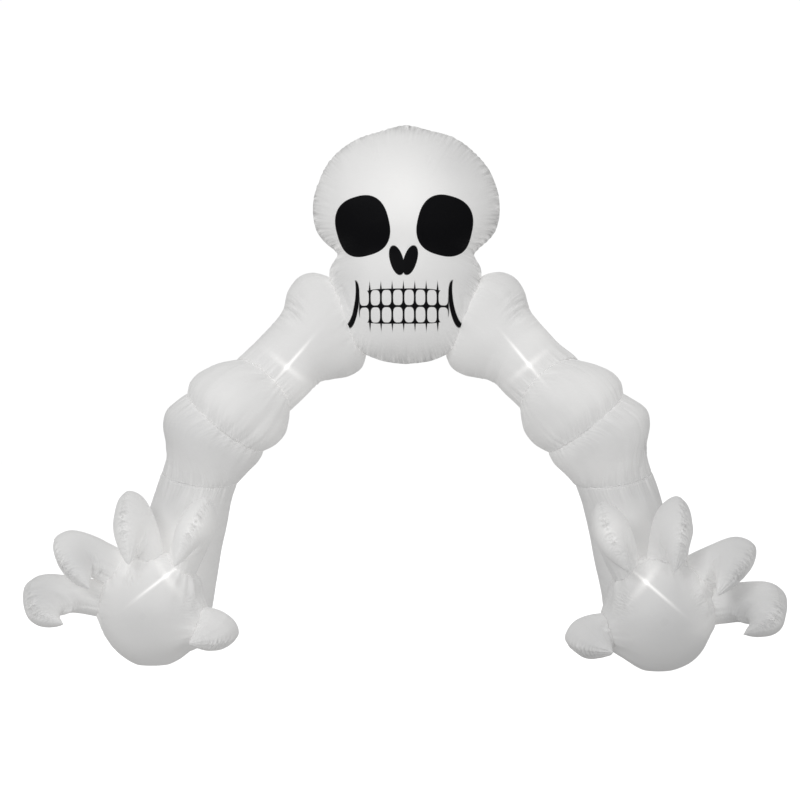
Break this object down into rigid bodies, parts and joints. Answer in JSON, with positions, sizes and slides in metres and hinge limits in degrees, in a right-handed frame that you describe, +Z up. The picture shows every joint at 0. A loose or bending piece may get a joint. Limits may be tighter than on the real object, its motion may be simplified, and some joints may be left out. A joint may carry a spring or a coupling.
{
  "type": "inflatable arch",
  "caption": "Inflatable walk-through arch: a big skull carried on two bent bone arms, with a large clawed hand resting on the ground in front of each foot.",
  "frame": {"origin": "middle of the arch's footprint box on the ground, midway between its left and right and its front and back ends", "axes": "+X across the arch's width, to the right as seen from the front; +Y from the front, where the face and the claws are, to the back; +Z up"},
  "size_m": [3.7947, 1.027, 2.756],
  "materials": {
    "skull_cloth": "white ripstop cloth, lit from inside, with a printed skull face",
    "arm_cloth": "white ripstop cloth, lit from inside",
    "hand_cloth": "white ripstop cloth, lit from inside"
  },
  "bodies": {
    "root": {"skull": "skull_cloth", "upper_arm_left": "arm_cloth", "elbow_upper_left": "arm_cloth", "elbow_lower_left": "arm_cloth", "forearm_left": "arm_cloth", "palm_left": "hand_cloth", "finger_1_left": "hand_cloth", "finger_2_left": "hand_cloth", "finger_3_left": "hand_cloth", "finger_4_left": "hand_cloth", "thumb_left": "hand_cloth", "upper_arm_right": "arm_cloth", "elbow_upper_right": "arm_cloth", "elbow_lower_right": "arm_cloth", "forearm_right": "arm_cloth", "palm_right": "hand_cloth", "finger_1_right": "hand_cloth", "finger_2_right": "hand_cloth", "finger_3_right": "hand_cloth", "finger_4_right": "hand_cloth", "thumb_right": "hand_cloth"}
  },
  "joints": []
}
